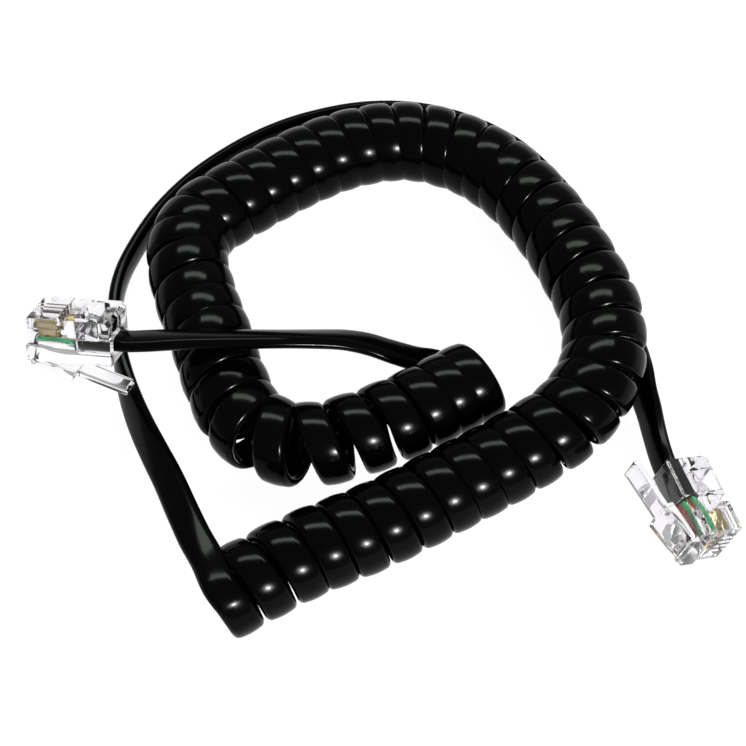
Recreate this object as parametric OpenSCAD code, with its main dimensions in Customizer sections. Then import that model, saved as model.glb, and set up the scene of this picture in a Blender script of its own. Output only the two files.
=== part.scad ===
// Coiled handset cord with a clear four-contact modular plug on each end, lying on a table.
// Millimetres, Z up, floor at z = 0.
// A plug's own frame: origin in the middle of its cord opening, +X to the nose, +Z to the contact side.

/* [Cord] */
// width of the flat cord
cord_w = 4.6; // [4.5:0.05:4.7]
// thickness of the flat cord
cord_t = 2.1; // [2.0:0.05:2.2]
// outer diameter of the wound coil
coil_d = 12.1; // [11.9:0.1:12.2]

/* [Plug] */
// length of the plug housing
plug_len = 12.4; // [12.2:0.1:12.8]
// width of the plug housing
plug_w = 7.65; // [7.5:0.05:7.8]
// angle that the latch of plug A stands away from the housing at rest
latch_a_angle = 19; // [17:1:21]
// angle that the latch of plug B stands away from the housing at rest
latch_b_angle = 10; // [9:1:12]

/* [Contacts] */
// distance between neighbouring contacts
contact_pitch = 1.02; // [1.0:0.01:1.04]
// thickness of one contact blade
contact_t = 0.3; // [0.26:0.02:0.32]
// diameter of one insulated conductor
conductor_d = 0.95; // [0.9:0.05:0.95]

/* [Hidden] */
$fn = 32;
layout_shift = [-0.6, -2.2, 0];

// housing: heights are measured from the middle of the cord
plug_bottom = -2.3;
plug_top = 4.3;
step_z = 0;
nose_set_back = 0.5;
cord_room = 0.3;
jacket_end_x = 5.6;
window_x = [1.9, 5.3];
window_w = 5.5;
clamp_t = 0.6;
wire_z = 0.5;
wire_end_x = plug_len - 1.2;
slot_room = 0.04;
slot_w = contact_pitch - 0.4;
slot_x = plug_len - 4.7;
slot_z = 1.85;

// contact blade: a wide head over a narrower piercing foot
head_x = [plug_len - 4.55, plug_len - 0.95];
foot_x = [plug_len - 4.1, plug_len - 1.6];
head_z = [1.95, 3.2];
foot_z = 0.65;

// latch and its pin, which stands in for the thin moulded web
pin_x = plug_len - 1.1;
pin_z = plug_bottom - 0.6;
pin_r = 0.45;
seat_r = 0.53;
root_w = 5.2;
root_drop = 1.25;
latch_len = 13.2;
latch_wide_len = 5.4;
tab_w = 3.2;
latch_t = 1.0;
shoulder_t = 1.7;
latch_top = pin_r - 0.1;
latch_lap = 0.1;

// how far a cut runs past the face it opens
through = 1;

// where each plug lies: middle of its cord opening, then [roll, pitch, yaw]
plug_a_at = [-35.2, -2.3, 13];
plug_a_turn = [32, 7, 170.4];
plug_b_at = [40.7, -19.2, 5.6];
plug_b_turn = [-110, -3, -71.5];

// how far a jacket end stands out of its plug before the swept cord takes over
jacket_out = 1.0;

// the coil leans this far toward the front for each millimetre it is raised
lift_lean = 0.577;

// swept solids: sides of a section, and steps between neighbouring points of the coil axis
section_sides = 12;
axis_steps = 2;

// coil axis: x, y, height above the resting height
coil_r = coil_d / 2;
coil_route = [
  [-20.2, -37.9, 0.05], [-15, -34.8, 0.05], [-9, -31.5, 0.05], [1, -27, 0.1],
  [11, -21.5, 0.3], [20.4, -15.9, 1], [27.9, -9.9, 2.1], [32.1, -2.4, 2.9], [32.5, 6.2, 2.9],
  [29.7, 14.8, 2.1], [26, 22.5, 0.9], [20.6, 29.9, 0.2], [14, 35, 0.05], [5.5, 37.5, 0.05],
  [-3.5, 36.1, 0.05], [-11.8, 32.1, 0.05], [-20.1, 26.6, 0.05], [-25.5, 22.2, 0.05],
  [-27.4, 16.8, 0.05], [-25.8, 9.3, 0.05], [-23.3, 2.4, 0.05], [-21.1, -4.3, 0.05],
  [-17.5, -11.6, 0.05], [-11.2, -14.9, 0.05], [-4.5, -14.1, 0.05], [3.5, -10.9, 0.05],
  [9.7, -7.5, 0.05], [14.9, -4.5, 0.05]
];

// flat cord ends: x, y, z, roll of the wide side about the run
tail_a_route = [
  [13.9, -3, 1.45, 0],
  [13, -1.1, 1.3, 0], [11, 0, 1.3, 2], [9, 0.6, 1.9, 8], [6.8, 0.5, 2.9, 14], [4.6, 0.5, 4.1, 18],
  [2.4, 0.5, 5.4, 21], [-0.4, 0.6, 7, 24], [-3.3, 0.3, 8.6, 29], [-6.1, -0.3, 10, 34], [-11.6, -1.8, 12.6, 39],
  [-16.4, -2.6, 13.9, 40], [-21.9, -2.8, 14.2, 38], [-26.8, -2.8, 14.1, 35], [-31, -2.7, 13.6, 32]
];
tail_b_route = [
  [-20, -37.9, 10.5, 0],
  [-21.8, -34.1, 10.1, -5], [-23.7, -30.6, 9.5, -12], [-25.7, -26.2, 8.6, -20], [-27.9, -21.1, 7.3, -28],
  [-30.1, -16.5, 5.9, -36], [-32.3, -11.7, 4.3, -46], [-34.2, -7, 2.9, -56], [-35.9, -1.8, 2.35, -70],
  [-37.2, 4, 2.3, -84], [-38, 9.8, 2.3, -90], [-37.5, 15, 2.3, -90], [-35.8, 20, 2.3, -90],
  [-33.1, 25.5, 2.3, -90], [-29.9, 30.1, 2.3, -90], [-25.8, 34.5, 2.3, -90], [-20, 39.1, 2.3, -90],
  [-14, 42.5, 2.3, -90], [-8, 44.7, 2.3, -90], [-2, 46, 2.3, -90], [4.2, 46.2, 2.3, -90],
  [10.2, 45.2, 2.3, -90], [16.2, 42.9, 2.3, -90], [21.8, 39.3, 2.3, -90], [26.3, 34.5, 2.3, -90],
  [30.4, 28.5, 2.3, -90], [33.2, 22.9, 2.35, -87], [34.9, 18, 2.3, -68], [36, 12.9, 1.8, -32],
  [36.8, 8.4, 1.4, -12], [37.4, 4.6, 1.45, 6], [38, 1.2, 2, 24], [38.4, -2.1, 2.85, 40],
  [38.6, -5.6, 3.8, 52], [39, -9, 4.6, 60], [39.3, -12.4, 5.2, 66], [39.7, -15.4, 5.5, 69]
];

// ---- helpers ----

// point between b and c on the smooth curve through a, b, c, d
function spline(a, b, c, d, t) =
  0.5 * (2 * b + (c - a) * t + (2 * a - 5 * b + 4 * c - d) * t * t + (3 * b - a - 3 * c + d) * t * t * t);

// the route with n steps between neighbouring points
function smooth(p, n) = [
  for (i = [0 : len(p) - 2])
    for (k = [0 : n - 1])
      spline(p[max(i - 1, 0)], p[i], p[i + 1], p[min(i + 2, len(p) - 1)], k / n),
  p[len(p) - 1]
];

function place(p) = [p[0], p[1], p[2]];
function unit(v) = v / norm(v);
function run_at(p, i) = unit(place(p[min(i + 1, len(p) - 1)]) - place(p[max(i - 1, 0)]));

// one ring of the swept section, square to the run
function ring(centre, run, roll, section) =
  let (left = unit(cross([0, 0, 1], run)),
       up = cross(run, left),
       wide = left * cos(roll) + up * sin(roll),
       thick = up * cos(roll) - left * sin(roll))
  [for (s = section) centre + wide * s[0] + thick * s[1]];

// flat cord section with rounded sides
function flat_section(sides) = [
  for (k = [0 : sides - 1])
    let (a = 360 * k / sides, c = cos(a), s = sin(a))
    [cord_w / 2 * sign(c) * pow(abs(c), 0.7), cord_t / 2 * sign(s) * pow(abs(s), 0.7)]
];

function round_section(sides, r) = [for (k = [0 : sides - 1]) r * [cos(360 * k / sides), sin(360 * k / sides)]];

// closed solid through a list of rings
module skin(rings) {
  n = len(rings[0]);
  last = (len(rings) - 1) * n;
  polyhedron(
    points = [for (r = rings) each r],
    faces = concat(
      [[for (j = [0 : n - 1]) j]],
      [[for (j = [n - 1 : -1 : 0]) last + j]],
      [for (i = [0 : len(rings) - 2])
        for (j = [0 : n - 1])
          let (k = (j + 1) % n)
          each [[i * n + j, (i + 1) * n + j, (i + 1) * n + k], [i * n + j, (i + 1) * n + k, i * n + k]]]));
}

module box(from, to) translate(from) cube(to - from);

// box centred across the plug
module bar(x, width, z) box([x[0], -width / 2, z[0]], [x[1], width / 2, z[1]]);

module at_plug_a() translate(layout_shift + plug_a_at) rotate(plug_a_turn) children();
module at_plug_b() translate(layout_shift + plug_b_at) rotate(plug_b_turn) children();

// a point of a plug's own frame, in the layout
function turned(p, r) =
  let (a = [p[0], p[1] * cos(r[0]) - p[2] * sin(r[0]), p[1] * sin(r[0]) + p[2] * cos(r[0])],
       b = [a[0] * cos(r[1]) + a[2] * sin(r[1]), a[1], a[2] * cos(r[1]) - a[0] * sin(r[1])])
  [b[0] * cos(r[2]) - b[1] * sin(r[2]), b[0] * sin(r[2]) + b[1] * cos(r[2]), b[2]];

// ---- plug parts, each in the plug's own frame ----

// flat cord shape along X, grown by room on every side
module cord_bar(x, room) {
  t = cord_t + 2 * room;
  w = cord_w + 2 * room;
  translate([x[0], 0, 0]) rotate([90, 0, 90]) linear_extrude(x[1] - x[0]) {
    square([w - t, t], center = true);
    for (side = [-1, 1]) translate([side * (w - t) / 2, 0]) circle(d = t);
  }
}

module housing() {
  difference() {
    union() {
      bar([0, plug_len], plug_w, [plug_bottom, step_z]);
      bar([0, plug_len - nose_set_back], plug_w, [step_z, plug_top]);
      bar([pin_x, plug_len], root_w, [plug_bottom - root_drop, plug_bottom]);
    }
    cord_bar([-through, jacket_end_x], cord_room);
    bar(window_x, window_w, [cord_t / 2, plug_top + through]);
    bar([jacket_end_x - through, wire_end_x], 4 * contact_pitch, [wire_z - conductor_d / 2, wire_z + conductor_d / 2]);
    for (i = [0 : 3]) translate([0, contact_y(i), 0]) {
      bar([slot_x, plug_len + through], slot_w, [slot_z, plug_top + through]);
      bar([foot_x[0] - slot_room, foot_x[1] + slot_room], contact_t + 2 * slot_room, [wire_z, slot_z + through]);
    }
    translate([pin_x, 0, pin_z]) rotate([90, 0, 0]) cylinder(r = seat_r, h = plug_w, center = true);
  }
}

function contact_y(i) = (1.5 - i) * contact_pitch;

module contact_blade(i) translate([0, contact_y(i), 0]) {
  bar(head_x, contact_t, head_z);
  bar(foot_x, contact_t, [foot_z, head_z[0]]);
}

module conductor(i) translate([jacket_end_x, contact_y(i), wire_z])
  rotate([0, 90, 0]) cylinder(d = conductor_d, h = wire_end_x - jacket_end_x);

// bar pressed down on the jacket through the window
module clamp() bar(window_x, window_w, [cord_t / 2, cord_t / 2 + clamp_t]);

module jacket_end() cord_bar([-jacket_out, jacket_end_x], 0);

module latch(angle) {
  translate([pin_x, 0, pin_z]) rotate([0, -angle, 0]) {
    rotate([90, 0, 0]) cylinder(r = pin_r, h = root_w, center = true);
    rotate([90, 0, 0]) linear_extrude(root_w, center = true)
      polygon([[-pin_r, pin_r - latch_t], [-latch_wide_len, pin_r - shoulder_t], [-latch_wide_len, latch_top],
        [0, latch_top]]);
    bar([-latch_len, latch_lap - latch_wide_len], tab_w, [latch_top - latch_t, latch_top]);
  }
}

// ---- sub-parts ----

clear_grey = [0.86, 0.88, 0.9, 0.4];
gold = [0.85, 0.65, 0.25];
jet = [0.02, 0.02, 0.02];

module plug_a_housing() color(clear_grey) at_plug_a() housing();
module plug_b_housing() color(clear_grey) at_plug_b() housing();
module plug_a_latch() color(clear_grey) at_plug_a() latch(latch_a_angle);
module plug_b_latch() color(clear_grey) at_plug_b() latch(latch_b_angle);
module plug_a_clamp() color(clear_grey) at_plug_a() clamp();
module plug_b_clamp() color(clear_grey) at_plug_b() clamp();
module plug_a_jacket_end() color(jet) at_plug_a() jacket_end();
module plug_b_jacket_end() color(jet) at_plug_b() jacket_end();
module plug_a_contact(i) color(gold) at_plug_a() contact_blade(i);
module plug_b_contact(i) color(gold) at_plug_b() contact_blade(i);
module plug_a_conductor(i, paint) color(paint) at_plug_a() conductor(i);
module plug_b_conductor(i, paint) color(paint) at_plug_b() conductor(i);

// the wound stretch, as one solid of the coil's outer diameter
module cord_coil() color(jet) {
  p = smooth([for (q = coil_route) layout_shift + [q[0], q[1] - lift_lean * q[2], coil_r + q[2]]], axis_steps);
  skin([for (i = [0 : len(p) - 1]) ring(p[i], run_at(p, i), 0, round_section(section_sides, coil_r))]);
}

module flat_cord(route) color(jet)
  skin([for (i = [0 : len(route) - 1])
    ring(layout_shift + place(route[i]), run_at(route, i), route[i][3], flat_section(section_sides))]);

function plug_mouth(at, turn, roll) =
  let (p = at + turned([-jacket_out, 0, 0], turn)) [p[0], p[1], p[2], roll];

module cord_tail_a() flat_cord(concat(tail_a_route, [plug_mouth(plug_a_at, plug_a_turn, plug_a_turn[0])]));
// a flat cord turned half round is the same cord, so this tail meets its plug half a turn on.
module cord_tail_b() flat_cord(concat(tail_b_route, [plug_mouth(plug_b_at, plug_b_turn, plug_b_turn[0] + 180)]));

green = [0.05, 0.5, 0.15];
red = [0.7, 0.08, 0.06];
yellow = [0.85, 0.7, 0.1];

plug_a_housing();
plug_a_latch();
plug_a_clamp();
plug_a_jacket_end();
plug_a_contact(0);  // plug_a_contact_1
plug_a_contact(1);  // plug_a_contact_2
plug_a_contact(2);  // plug_a_contact_3
plug_a_contact(3);  // plug_a_contact_4
plug_a_conductor(0, green);  // plug_a_conductor_green
plug_a_conductor(1, red);  // plug_a_conductor_red
plug_a_conductor(2, yellow);  // plug_a_conductor_yellow
plug_a_conductor(3, jet);  // plug_a_conductor_black
plug_b_housing();
plug_b_latch();
plug_b_clamp();
plug_b_jacket_end();
plug_b_contact(0);  // plug_b_contact_1
plug_b_contact(1);  // plug_b_contact_2
plug_b_contact(2);  // plug_b_contact_3
plug_b_contact(3);  // plug_b_contact_4
plug_b_conductor(0, jet);  // plug_b_conductor_black
plug_b_conductor(1, yellow);  // plug_b_conductor_yellow
plug_b_conductor(2, red);  // plug_b_conductor_red
plug_b_conductor(3, green);  // plug_b_conductor_green
cord_tail_a();
cord_coil();
cord_tail_b();
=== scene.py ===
"""Coiled handset cord with a clear modular plug on each end, in millimetres until MM makes it metres."""
import math

import bmesh
import bpy
from mathutils import Matrix, Vector


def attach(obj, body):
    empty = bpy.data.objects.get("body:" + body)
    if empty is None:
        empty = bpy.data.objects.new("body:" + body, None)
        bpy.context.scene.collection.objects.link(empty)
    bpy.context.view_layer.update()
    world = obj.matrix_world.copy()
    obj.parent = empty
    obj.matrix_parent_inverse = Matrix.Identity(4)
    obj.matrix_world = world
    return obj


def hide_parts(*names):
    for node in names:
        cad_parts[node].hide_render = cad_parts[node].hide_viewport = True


MM = 0.001
UP = Vector((0, 0, 1))

# Driving sizes, as in the CAD source.
CORD_W = 4.6
CORD_T = 2.1
CORD_CORNER = 0.93
CORD_CROWN = 0.12
COIL_D = 12.1
PLUG_LEN = 12.4
PLUG_W = 7.65
LATCH_ANGLE = {"a": 19, "b": 10}
CONTACT_PITCH = 1.02
JACKET_END_X = 5.6
PLUG_BOTTOM = -2.3
PLUG_TOP = 4.3
STEP_Z = 0
NOSE_SET_BACK = 0.5
CORD_ROOM = 0.3
WINDOW_X = (1.9, 5.3)
WINDOW_W = 5.5
BRIDGE_X = 6.5
BRIDGE_Z = 2.9
WIRE_Z = 0.5
WIRE_END_X = PLUG_LEN - 1.2
SLOT_W = CONTACT_PITCH - 0.4
SLOT_Z = 1.85
CONTACT_T = 0.3
CONDUCTOR_D = 0.95
PIN_X = PLUG_LEN - 1.1
PIN_Z = PLUG_BOTTOM - 0.6
PIN_R = 0.45
ROOT_W = 5.2
ROOT_DROP = 1.25
LATCH_LEN = 13.2
LATCH_WIDE_LEN = 5.4
TAB_W = 3.2
LATCH_T = 1.0
SHOULDER_T = 1.7
WIRE_ORDER = {"a": ("green", "red", "yellow", "black"), "b": ("black", "yellow", "red", "green")}
FLOOR_GLOW = 0.97
ROUNDED_OVER = 25
SHARP_OVER = 38
CAMERA_LENS = 86
CAMERA_TILT = 60
CAMERA_DISTANCE = 260
LAYOUT_SHIFT = Vector((-0.6, -2.2, 0))

# Middle of each plug's cord opening, then its roll, pitch and yaw in degrees.
PLUG_AT = {"a": (-35.2, -2.3, 13), "b": (40.7, -19.2, 5.6)}
PLUG_TURN = {"a": (32, 7, 170.4), "b": (-110, -3, -71.5)}

# Coil axis: x, y, height above the resting height, turns wound so far.
COIL_ROUTE = [
    (-20.2, -37.9, 0.05, 0), (-15, -34.8, 0.05, 1.2), (-9, -31.5, 0.05, 2.55), (1, -27, 0.1, 4.95),
    (11, -21.5, 0.3, 7.45), (20.4, -15.9, 1, 10), (27.9, -9.9, 2.1, 12), (32.1, -2.4, 2.9, 14),
    (32.5, 6.2, 2.9, 16), (29.7, 14.8, 2.1, 18), (26, 22.5, 0.9, 20), (20.6, 29.9, 0.2, 22),
    (14, 35, 0.05, 24), (5.5, 37.5, 0.05, 26), (-3.5, 36.1, 0.05, 28.2), (-11.8, 32.1, 0.05, 30.5),
    (-20.1, 26.6, 0.05, 33), (-25.5, 22.2, 0.05, 34.6), (-27.4, 16.8, 0.05, 36.3), (-25.8, 9.3, 0.05, 38),
    (-23.3, 2.4, 0.05, 39.85), (-21.1, -4.3, 0.05, 41.35), (-17.5, -11.6, 0.05, 43.15),
    (-11.2, -14.9, 0.05, 44.45), (-4.5, -14.1, 0.05, 45.55), (3.5, -10.9, 0.05, 47.15),
    (9.7, -7.5, 0.05, 48.75), (14.9, -4.5, 0.05, 50.55),
]
LIFT_LEAN = 0.577
FIRST_TURN_AT = 95
RINGS_PER_TURN = 44
AXIS_STEPS = 24
FLAT_STEPS = 4

# Flat cord ends: x, y, z, roll of the wide side about the run.
TAIL_A_ROUTE = [
    (13, -1.1, 1.3, 0), (11, 0, 1.3, 2), (9, 0.6, 1.9, 8), (6.8, 0.5, 2.9, 14), (4.6, 0.5, 4.1, 18),
    (2.4, 0.5, 5.4, 21), (-0.4, 0.6, 7, 24), (-3.3, 0.3, 8.6, 29), (-6.1, -0.3, 10, 34),
    (-11.6, -1.8, 12.6, 39), (-16.4, -2.6, 13.9, 40), (-21.9, -2.8, 14.2, 38), (-26.8, -2.8, 14.1, 35),
    (-31, -2.7, 13.6, 32),
]
TAIL_B_ROUTE = [
    (-21.8, -34.1, 10.1, -5), (-23.7, -30.6, 9.5, -12), (-25.7, -26.2, 8.6, -20),
    (-27.9, -21.1, 7.3, -28), (-30.1, -16.5, 5.9, -36), (-32.3, -11.7, 4.3, -46), (-34.2, -7, 2.9, -56),
    (-35.9, -1.8, 2.35, -70), (-37.2, 4, 2.3, -84), (-38, 9.8, 2.3, -90), (-37.5, 15, 2.3, -90),
    (-35.8, 20, 2.3, -90), (-33.1, 25.5, 2.3, -90), (-29.9, 30.1, 2.3, -90), (-25.8, 34.5, 2.3, -90),
    (-20, 39.1, 2.3, -90), (-14, 42.5, 2.3, -90), (-8, 44.7, 2.3, -90), (-2, 46, 2.3, -90),
    (4.2, 46.2, 2.3, -90), (10.2, 45.2, 2.3, -90), (16.2, 42.9, 2.3, -90), (21.8, 39.3, 2.3, -90),
    (26.3, 34.5, 2.3, -90), (30.4, 28.5, 2.3, -90), (33.2, 22.9, 2.35, -87), (34.9, 18, 2.3, -68),
    (36, 12.9, 1.8, -32), (36.8, 8.4, 1.4, -12), (37.4, 4.6, 1.45, 6), (38, 1.2, 2, 24),
    (38.4, -2.1, 2.85, 40), (38.6, -5.6, 3.8, 52), (39, -9, 4.6, 60), (39.3, -12.4, 5.2, 66),
    (39.7, -15.4, 5.5, 69),
]


def spline(a, b, c, d, t):
    """The point between b and c on the smooth curve through all four."""
    return 0.5 * (2 * b + (c - a) * t + (2 * a - 5 * b + 4 * c - d) * t**2 + (3 * b - a - 3 * c + d) * t**3)


def smooth(points, steps):
    """The list of vectors with steps between neighbours, on a smooth curve."""
    out = []
    last = len(points) - 1
    for i in range(last):
        four = [points[max(i - 1, 0)], points[i], points[i + 1], points[min(i + 2, last)]]
        out += [spline(*four, k / steps) for k in range(steps)]
    return out + [points[last]]


def plug_matrix(key):
    """From a plug's own frame to the layout, still in millimetres."""
    roll, pitch, yaw = (math.radians(v) for v in PLUG_TURN[key])
    turn = Matrix.Rotation(yaw, 4, "Z") @ Matrix.Rotation(pitch, 4, "Y") @ Matrix.Rotation(roll, 4, "X")
    return Matrix.Translation(LAYOUT_SHIFT + Vector(PLUG_AT[key])) @ turn


# ---- the cord: one swept strand, listed as (centre, direction of its wide side) ----


def coil_axis():
    """The turns wound so far, and the centres, down the middle of the wound stretch."""
    lifted = [
        Vector((x, y - LIFT_LEAN * lift, COIL_D / 2 + lift)) + LAYOUT_SHIFT for x, y, lift, _ in COIL_ROUTE
    ]
    centres = smooth(lifted, AXIS_STEPS)
    turns = [v.x for v in smooth([Vector((row[3], 0, 0)) for row in COIL_ROUTE], AXIS_STEPS)]
    return turns, centres


def wound_strand():
    """The strand round the coil, from its outer end to its inner one."""
    turns, centres = coil_axis()
    radius = (COIL_D - CORD_T) / 2
    count = round(COIL_ROUTE[-1][3] * RINGS_PER_TURN)
    frames = []
    k = 0
    for i in range(count + 1):
        turn = turns[-1] * i / count
        while k < len(turns) - 2 and turns[k + 1] < turn:
            k += 1
        share = (turn - turns[k]) / (turns[k + 1] - turns[k])
        centre = centres[k].lerp(centres[k + 1], share)
        before = centres[max(k - 2, 0)]
        after = centres[min(k + 3, len(centres) - 1)]
        axis = (after - before).normalized()
        side = UP.cross(axis).normalized()
        angle = math.radians(FIRST_TURN_AT + 360 * turn)
        out = math.cos(angle) * side + math.sin(angle) * axis.cross(side)
        frames.append((centre + radius * out, axis))
    return frames


def routed(route):
    """Frames at the route's own points, with the roll turned into a direction."""
    centres = [Vector(row[:3]) + LAYOUT_SHIFT for row in route]
    frames = []
    for i, row in enumerate(route):
        run = (centres[min(i + 1, len(route) - 1)] - centres[max(i - 1, 0)]).normalized()
        side = UP.cross(run).normalized()
        roll = math.radians(row[3])
        frames.append((centres[i], side * math.cos(roll) + run.cross(side) * math.sin(roll)))
    return frames


def in_plug(key):
    """Frames from the plug's mouth to the cut end of the jacket."""
    to_layout = plug_matrix(key)
    wide = (to_layout.to_3x3() @ Vector((0, 1, 0))).normalized()
    return [(to_layout @ Vector((x, 0, 0)), wide) for x in (-1.5, 0, 1.9, 3.8, JACKET_END_X)]


def same_way(frames):
    """The frames with neighbouring wide directions never opposed."""
    out = [frames[0]]
    for centre, wide in frames[1:]:
        out.append((centre, wide if wide.dot(out[-1][1]) > 0 else -wide))
    return out


def smooth_frames(frames, steps):
    """The frames with steps between neighbours."""
    centres = smooth([f[0] for f in frames], steps)
    wides = smooth([f[1] for f in frames], steps)
    return list(zip(centres, wides))


def cord_frames():
    """The whole strand, from plug A along the short end, the coil and the long end to plug B."""
    wound = wound_strand()
    step = RINGS_PER_TURN // 10
    lead = 2 * step
    inner = list(reversed(wound))[:lead:step]
    outer = wound[:lead:step][::-1]
    tail_a = same_way(list(reversed(in_plug("a"))) + list(reversed(routed(TAIL_A_ROUTE))) + inner)
    middle = list(reversed(wound[lead:-lead]))
    tail_b = same_way(outer + routed(TAIL_B_ROUTE) + in_plug("b"))
    return same_way(smooth_frames(tail_a, FLAT_STEPS) + middle + smooth_frames(tail_b, FLAT_STEPS))


def flat_section(width, thick, corner, crown):
    """Rounded rectangle whose wide faces bulge by crown."""
    points = []
    for quarter in range(4):
        x = (width / 2 - corner) * (1 if quarter in (0, 3) else -1)
        y = (thick / 2 - crown - corner) * (1 if quarter < 2 else -1)
        for k in range(5):
            a = math.radians(90 * quarter + 22.5 * k)
            points.append((x + corner * math.cos(a), y + corner * math.sin(a)))
        if quarter in (0, 2):
            sign = 1 if quarter == 0 else -1
            for share in (0.5, 0, -0.5):
                points.append((sign * share * (width / 2 - corner), sign * (thick / 2 - crown * share**2)))
    return points


def swept(name, frames, section):
    """A closed tube with the section at every frame."""
    bm = bmesh.new()
    rings = []
    for i, (centre, wide) in enumerate(frames):
        run = (frames[min(i + 1, len(frames) - 1)][0] - frames[max(i - 1, 0)][0]).normalized()
        wide = (wide - run * wide.dot(run)).normalized()
        thick = run.cross(wide)
        rings.append([bm.verts.new((centre + wide * x + thick * y) * MM) for x, y in section])
    count = len(section)
    for low, high in zip(rings, rings[1:]):
        for j in range(count):
            k = (j + 1) % count
            bm.faces.new((low[j], low[k], high[k], high[j]))
    bm.faces.new(rings[0][::-1])
    bm.faces.new(rings[-1])
    for face in bm.faces:
        face.smooth = len(face.verts) == 4
    return finish_mesh(name, bm)


def finish_mesh(name, bm):
    """A new object of the built mesh, in the scene."""
    mesh = bpy.data.meshes.new(name)
    bm.to_mesh(mesh)
    bm.free()
    piece = bpy.data.objects.new(name, mesh)
    bpy.context.collection.objects.link(piece)
    return piece


# ---- plug parts, each drawn in its plug's own frame, in millimetres ----


def prism(name, outline, width, bevel, segments=3):
    """An outline in x and z, made width wide about y = 0, with its edges rounded."""
    bm = bmesh.new()
    near = [bm.verts.new((x, -width / 2, z)) for x, z in outline]
    far = [bm.verts.new((x, width / 2, z)) for x, z in outline]
    bm.faces.new(near)
    bm.faces.new(far[::-1])
    count = len(outline)
    for i in range(count):
        k = (i + 1) % count
        bm.faces.new((near[k], near[i], far[i], far[k]))
    bmesh.ops.recalc_face_normals(bm, faces=bm.faces)
    if bevel:
        edges = [edge for edge in bm.edges if edge.calc_face_angle() > math.radians(ROUNDED_OVER)]
        bmesh.ops.bevel(
            bm, geom=edges, offset=bevel, segments=segments, profile=0.5, affect="EDGES", clamp_overlap=True
        )
    return finish_mesh(name, bm)


def block(name, x, width, z, bevel=0.0):
    """A rectangular prism between two x values and two z values."""
    return prism(name, [(x[0], z[0]), (x[1], z[0]), (x[1], z[1]), (x[0], z[1])], width, bevel)


def joined(piece, tool, operation):
    """The piece after one boolean; the tool is used up."""
    step = piece.modifiers.new("step", "BOOLEAN")
    step.operation = operation
    step.object = tool
    step.solver = "EXACT"
    bpy.context.view_layer.update()
    graph = bpy.context.evaluated_depsgraph_get()
    mesh = bpy.data.meshes.new_from_object(piece.evaluated_get(graph))
    piece.modifiers.clear()
    piece.data = mesh
    bpy.data.objects.remove(tool)
    return piece


def moved(piece, offset):
    piece.data.transform(Matrix.Translation(offset))
    return piece


def set_in_layout(piece, key):
    """From the plug's own frame to metres in the layout, shaded smooth across the rounded edges."""
    piece.data.transform(Matrix.Scale(MM, 4) @ plug_matrix(key))
    piece.data.shade_smooth()
    piece.data.set_sharp_from_angle(angle=math.radians(SHARP_OVER))
    return piece


def contact_y(index):
    """How far contact number index lies to the side of the plug's middle."""
    return (1.5 - index) * CONTACT_PITCH


def housing(key):
    """Clear shell, hollowed for the cord, the clamp, the wires and the contacts."""
    comb_x = PLUG_LEN - 4.9
    upper_nose = PLUG_LEN - NOSE_SET_BACK
    outline = [
        (0, PLUG_BOTTOM), (PLUG_LEN, PLUG_BOTTOM), (PLUG_LEN, STEP_Z), (upper_nose, STEP_Z),
        (upper_nose, PLUG_TOP), (comb_x, PLUG_TOP), (comb_x, BRIDGE_Z), (BRIDGE_X, BRIDGE_Z),
        (BRIDGE_X, PLUG_TOP), (0.5, PLUG_TOP), (0, PLUG_TOP - 0.7),
    ]
    body = prism(f"plug_{key}_body", outline, PLUG_W, 0.14)
    root = block("root", (PIN_X, PLUG_LEN), ROOT_W, (PLUG_BOTTOM - ROOT_DROP, PLUG_BOTTOM + 0.3), 0.14)
    body = joined(body, root, "UNION")
    channel_z = (-CORD_T / 2 - CORD_ROOM, CORD_T / 2 + CORD_ROOM)
    channel = block("channel", (-1, JACKET_END_X), CORD_W + 2 * CORD_ROOM, channel_z, 0.9)
    body = joined(body, channel, "DIFFERENCE")
    window = block("window", WINDOW_X, WINDOW_W, (CORD_T / 2, PLUG_TOP + 1), 0.25)
    body = joined(body, window, "DIFFERENCE")
    wires_z = (WIRE_Z - CONDUCTOR_D / 2 - 0.02, WIRE_Z + CONDUCTOR_D / 2 + 0.02)
    wires = block("wires", (JACKET_END_X - 1, WIRE_END_X), 4 * CONTACT_PITCH, wires_z, 0.2)
    body = joined(body, wires, "DIFFERENCE")
    for index in range(4):
        slot = block("slot", (PLUG_LEN - 4.7, PLUG_LEN + 1), SLOT_W, (SLOT_Z, PLUG_TOP + 1), 0.1)
        body = joined(body, moved(slot, (0, contact_y(index), 0)), "DIFFERENCE")
    seat = block("seat", (PIN_X - 0.55, PIN_X + 0.55), PLUG_W, (PIN_Z - 1.2, PIN_Z + 0.55), 0.3)
    body = joined(body, seat, "DIFFERENCE")
    return set_in_layout(body, key)


def latch(key):
    """Wide springy root, two shoulders, then the narrower finger tab."""
    top = PIN_R - 0.1
    root_outline = [
        (0.42, top - 0.1), (0.42, PIN_R - 0.85), (-0.3, top - LATCH_T),
        (-LATCH_WIDE_LEN, PIN_R - SHOULDER_T), (-LATCH_WIDE_LEN, top), (0, top),
    ]
    root = prism(f"plug_{key}_tab", root_outline, ROOT_W - 0.05, 0.13)
    tab_start = -LATCH_WIDE_LEN + 0.6
    tab_outline = [
        (-LATCH_LEN, top - LATCH_T), (tab_start, top - LATCH_T), (tab_start, top - 0.02),
        (-LATCH_LEN + 0.5, top - 0.02), (-LATCH_LEN, top - 0.35),
    ]
    piece = joined(root, prism("tab", tab_outline, TAB_W, 0.13), "UNION")
    turn = Matrix.Translation((PIN_X, 0, PIN_Z)) @ Matrix.Rotation(math.radians(-LATCH_ANGLE[key]), 4, "Y")
    piece.data.transform(turn)
    return set_in_layout(piece, key)


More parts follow.
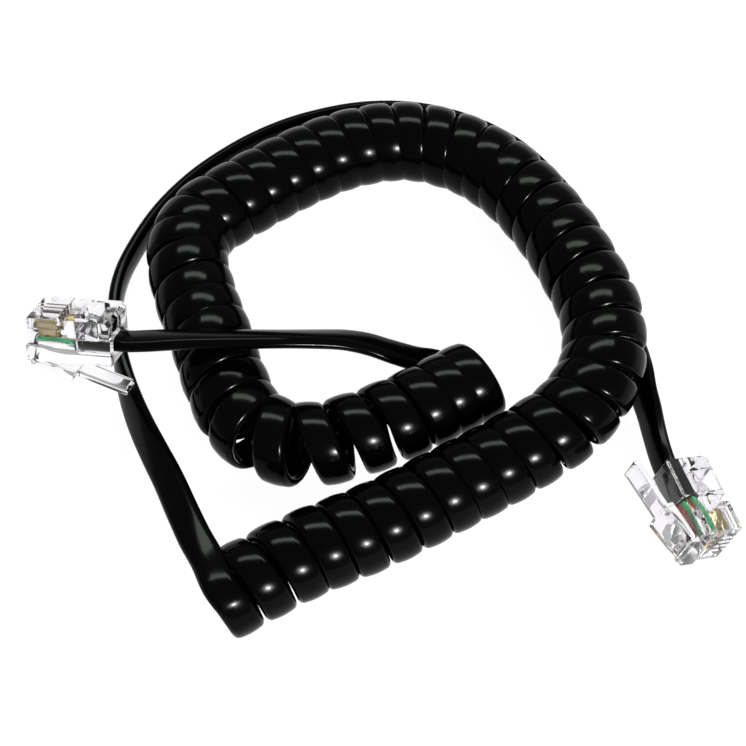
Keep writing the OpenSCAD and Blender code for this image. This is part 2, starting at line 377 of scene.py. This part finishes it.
def strain_clamp(key):
    """Wedge pressed down on the jacket through the window."""
    low = CORD_T / 2
    left, right = WINDOW_X[0] + 0.05, WINDOW_X[1] - 0.05
    outline = [
        (left, low), (right, low), (right, low + 1.5), (right - 0.5, low + 1.6), (left + 1.1, low + 0.9),
        (left, low + 0.5),
    ]
    return set_in_layout(prism(f"plug_{key}_wedge", outline, WINDOW_W - 0.15, 0.12), key)


def rounded(corners, radii, steps=4):
    """Outline with each corner replaced by an arc; radius 0 keeps it sharp."""
    out = []
    count = len(corners)
    for i, radius in enumerate(radii):
        here = Vector(corners[i])
        if not radius:
            out.append(tuple(here))
            continue
        before = (Vector(corners[i - 1]) - here).normalized() * radius
        after = (Vector(corners[(i + 1) % count]) - here).normalized() * radius
        for k in range(steps + 1):
            t = k / steps
            out.append(tuple(here + before * (1 - t) ** 2 + after * t**2))
    return out


def blade(key, index):
    """Gold contact: a wide head with round shoulders over two piercing points."""
    head_x = (PLUG_LEN - 4.55, PLUG_LEN - 0.95)
    foot_x = (PLUG_LEN - 4.1, PLUG_LEN - 1.6)
    foot_z, head_z, top = 0.65, 1.95, 3.2
    middle = (foot_x[0] + foot_x[1]) / 2
    corners = [
        (foot_x[0], foot_z + 0.3), (foot_x[0] + 0.35, foot_z), (middle - 0.25, foot_z + 0.45),
        (middle + 0.25, foot_z + 0.45), (foot_x[1] - 0.35, foot_z), (foot_x[1], foot_z + 0.3),
        (foot_x[1], head_z), (head_x[1], head_z), (head_x[1], top), (head_x[0], top), (head_x[0], head_z),
        (foot_x[0], head_z),
    ]
    outline = rounded(corners, [0, 0, 0.1, 0.1, 0, 0, 0.15, 0.2, 0.75, 0.5, 0.2, 0.15])
    piece = prism(f"plug_{key}_blade_{index + 1}", outline, CONTACT_T, 0.05, 2)
    return set_in_layout(moved(piece, (0, contact_y(index), 0)), key)


def conductor(key, index, name):
    """Insulated wire from the jacket's cut end up to its contact."""
    y = contact_y(index)
    route = [
        (JACKET_END_X - 0.3, y * 0.85, 0), (JACKET_END_X + 0.6, y * 0.92, 0.12),
        (JACKET_END_X + 1.8, y, WIRE_Z), (WIRE_END_X - 1, y, WIRE_Z), (WIRE_END_X - 0.05, y, WIRE_Z),
    ]
    centres = smooth([Vector(point) for point in route], 6)
    to_layout = plug_matrix(key)
    wide = (to_layout.to_3x3() @ Vector((0, 1, 0))).normalized()
    sides = 20
    radius = CONDUCTOR_D / 2 - 0.02
    around = [math.tau * k / sides for k in range(sides)]
    ring = [(radius * math.cos(a), radius * math.sin(a)) for a in around]
    return swept(f"plug_{key}_wire_{name}", [(to_layout @ c, wide) for c in centres], ring)


# ---- materials ----


def material(name, colour, roughness=0.5, **more):
    """A plain shader; more names other sockets, with _ for each space."""
    made = bpy.data.materials.new(name)
    made.use_nodes = True
    shader = made.node_tree.nodes["Principled BSDF"]
    shader.inputs["Base Color"].default_value = (*colour, 1)
    shader.inputs["Roughness"].default_value = roughness
    for socket, value in more.items():
        shader.inputs[socket.replace("_", " ")].default_value = value
    return made


def rippled(made, scale, strength, distance):
    """Adds a faint procedural unevenness to the surface."""
    tree = made.node_tree
    place = tree.nodes.new("ShaderNodeTexCoord")
    noise = tree.nodes.new("ShaderNodeTexNoise")
    noise.inputs["Scale"].default_value = scale
    noise.inputs["Detail"].default_value = 2
    bump = tree.nodes.new("ShaderNodeBump")
    bump.inputs["Strength"].default_value = strength
    bump.inputs["Distance"].default_value = distance
    tree.links.new(place.outputs["Object"], noise.inputs["Vector"])
    tree.links.new(noise.outputs["Fac"], bump.inputs["Height"])
    tree.links.new(bump.outputs["Normal"], tree.nodes["Principled BSDF"].inputs["Normal"])
    return made


def cover(piece, made):
    """Gives the piece that one material."""
    piece.data.materials.clear()
    piece.data.materials.append(made)


def vinyl():
    made = material("black_vinyl", (0.0003, 0.0003, 0.0004), 0.15, IOR=1.24, Specular_IOR_Level=0.16)
    return rippled(made, 900, 0.05, 0.00005)


def clear_plastic():
    made = material("clear_polycarbonate", (0.93, 0.915, 0.94), 0.05, IOR=1.45, Transmission_Weight=1.0)
    return rippled(made, 500, 0.05, 0.00004)


def gold():
    made = material("gold_plate", (0.46, 0.37, 0.21), 0.28, Metallic=1.0)
    return rippled(made, 2500, 0.1, 0.00002)


WIRE_COLOURS = {
    "green": (0.015, 0.26, 0.08),
    "red": (0.26, 0.035, 0.025),
    "yellow": (0.75, 0.55, 0.04),
    "black": (0.006, 0.006, 0.006),
}


def insulation(name):
    return rippled(material(f"insulation_{name}", WIRE_COLOURS[name], 0.35), 1500, 0.08, 0.00003)


# ---- camera, light and floor ----


def aim(thing, target):
    """Turns a light or the camera towards a point."""
    direction = Vector(target) - thing.location
    thing.rotation_euler = direction.to_track_quat("-Z", "Y").to_euler()


def camera():
    data = bpy.data.cameras.new("camera")
    data.lens = CAMERA_LENS
    data.sensor_width = 36
    data.clip_start = 0.01
    thing = bpy.data.objects.new("camera", data)
    bpy.context.collection.objects.link(thing)
    target = LAYOUT_SHIFT * MM
    tilt = math.radians(CAMERA_TILT)
    thing.location = target + CAMERA_DISTANCE * MM * Vector((0, -math.cos(tilt), math.sin(tilt)))
    aim(thing, target)
    bpy.context.scene.camera = thing


def area_light(name, place, size, power, colour=(1, 1, 1), shape="RECTANGLE"):
    data = bpy.data.lights.new(name, "AREA")
    data.shape = shape
    data.size, data.size_y = size
    data.energy = power
    data.color = colour
    thing = bpy.data.objects.new(name, data)
    bpy.context.collection.objects.link(thing)
    thing.location = place
    aim(thing, (0, 0, 0))
    return thing


def floor():
    bpy.ops.mesh.primitive_plane_add(size=4)
    plane = bpy.context.object
    plane.name = "floor"
    glow = {"Emission_Color": (1, 1, 1, 1), "Emission_Strength": FLOOR_GLOW}
    pale = material("pale_floor", (0.04, 0.04, 0.04), 0.9, **glow)
    cover(plane, pale)


def studio():
    floor()
    area_light("overhead_softbox", (0, 0.29, 0.45), (0.5, 0.1), 3.0, (0.9, 1, 0.88))
    area_light("front_lamp", (0.29, -0.42, 0.32), (0.07, 0.07), 6.5, shape="ELLIPSE")
    area_light("front_halo", (0.3, -0.43, 0.33), (0.2, 0.2), 3.5, shape="ELLIPSE")
    world = bpy.data.worlds.new("world")
    world.use_nodes = True
    world.node_tree.nodes["Background"].inputs["Color"].default_value = (1, 1, 1, 1)
    world.node_tree.nodes["Background"].inputs["Strength"].default_value = 0.45
    bpy.context.scene.world = world
    bpy.context.scene.view_settings.view_transform = "Standard"


# ---- the assembled part ----


def add(piece, body, slot, made, *nodes):
    """Puts a finished piece on its body, in place of the nodes; gives its name."""
    cover(piece, made)
    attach(piece, body)
    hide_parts(*nodes)
    return piece.name


def add_plug(key, looks):
    """All pieces of one plug; the names of those that ride with the cord."""
    with_cord = [
        add(housing(key), "cord", "clear_plastic", looks["clear"], f"plug_{key}_housing"),
        add(strain_clamp(key), "cord", "clear_plastic", looks["clear"], f"plug_{key}_clamp"),
    ]
    latch_name = add(latch(key), f"latch_{key}", "clear_plastic", looks["clear"], f"plug_{key}_latch")
    for index in range(4):
        node = f"plug_{key}_contact_{index + 1}"
        with_cord.append(add(blade(key, index), "cord", "gold_contact", looks["gold"], node))
    for index, name in enumerate(WIRE_ORDER[key]):
        node = f"plug_{key}_conductor_{name}"
        with_cord.append(add(conductor(key, index, name), "cord", f"wire_{name}", looks[name], node))
    return with_cord + [latch_name]


def add_cord(plug_b_pieces):
    """The cord itself, swept from plug A to plug B; plug_b_pieces is not used."""
    frames = cord_frames()
    cord = swept("handset_cord", frames, flat_section(CORD_W, CORD_T, CORD_CORNER, CORD_CROWN))
    add(cord, "cord", "cord_jacket", vinyl(), "cord_tail_a", "cord_coil", "cord_tail_b",
        "plug_a_jacket_end", "plug_b_jacket_end")


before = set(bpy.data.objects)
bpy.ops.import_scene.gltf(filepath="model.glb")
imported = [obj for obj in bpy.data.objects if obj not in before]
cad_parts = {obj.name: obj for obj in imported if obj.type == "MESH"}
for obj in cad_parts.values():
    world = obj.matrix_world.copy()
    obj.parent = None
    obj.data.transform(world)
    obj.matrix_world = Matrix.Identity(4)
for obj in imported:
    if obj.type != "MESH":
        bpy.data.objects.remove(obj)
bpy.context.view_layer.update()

camera()
studio()
looks = {"clear": clear_plastic(), "gold": gold()}
looks.update({name: insulation(name) for name in WIRE_COLOURS})
add_plug("a", looks)
add_cord(add_plug("b", looks))
